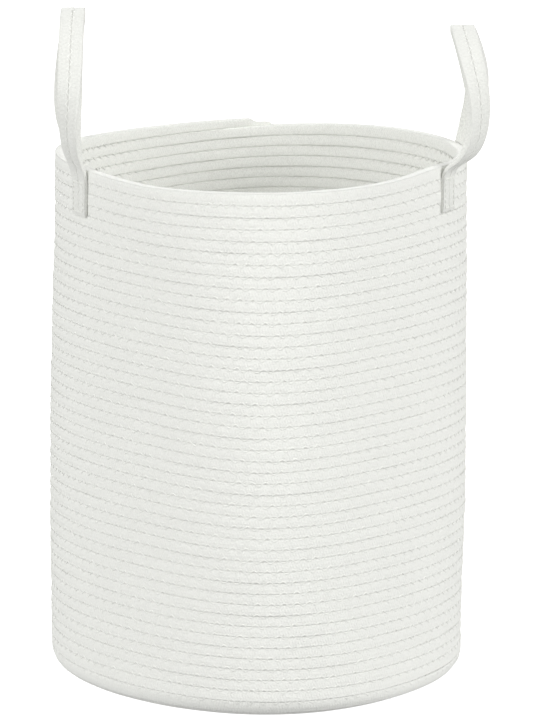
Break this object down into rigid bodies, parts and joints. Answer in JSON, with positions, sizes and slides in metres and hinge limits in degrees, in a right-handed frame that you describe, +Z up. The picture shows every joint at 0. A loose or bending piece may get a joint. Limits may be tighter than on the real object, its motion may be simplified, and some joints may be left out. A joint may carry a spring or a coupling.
{
  "type": "laundry basket",
  "caption": "Tall round open laundry basket of coiled off-white cotton rope, with a soft strap loop handle on each side.",
  "frame": {"origin": "on the floor under the middle of the base, where the rope starts", "axes": "+Z up the wall, handles to -X (left) and +X (right), -Y towards the viewer of the picture"},
  "size_m": [0.4217, 0.3939, 0.635],
  "materials": {
    "coil_rope": "matte off-white cotton rope",
    "strap_rope": "matte off-white cotton strap",
    "thread": "matte off-white sewing thread"
  },
  "bodies": {
    "basket": {"base_coil": "coil_rope", "heel_coil": "coil_rope", "lower_wall_coil": "coil_rope", "upper_wall_coil": "coil_rope", "rim_tail": "coil_rope", "left_front_tab": "strap_rope", "left_rear_tab": "strap_rope", "right_front_tab": "strap_rope", "right_rear_tab": "strap_rope", "left_front_tack": "thread", "left_rear_tack": "thread", "right_front_tack": "thread", "right_rear_tack": "thread"},
    "left_handle": {"left_handle_outer_rope": "strap_rope", "left_handle_inner_rope": "strap_rope"},
    "right_handle": {"right_handle_outer_rope": "strap_rope", "right_handle_inner_rope": "strap_rope"}
  },
  "joints": [
    {"name": "left_handle_fold", "type": "hinge", "parent": "basket", "child": "left_handle", "pos_m": [-0.18419, -0.01223, 0.508], "axis": [0.0663, -0.9978, 0], "range_deg": [-60, 150]},
    {"name": "right_handle_fold", "type": "hinge", "parent": "basket", "child": "right_handle", "pos_m": [0.18993, -0.02164, 0.508], "axis": [0.1132, 0.9936, 0], "range_deg": [-60, 150]}
  ]
}
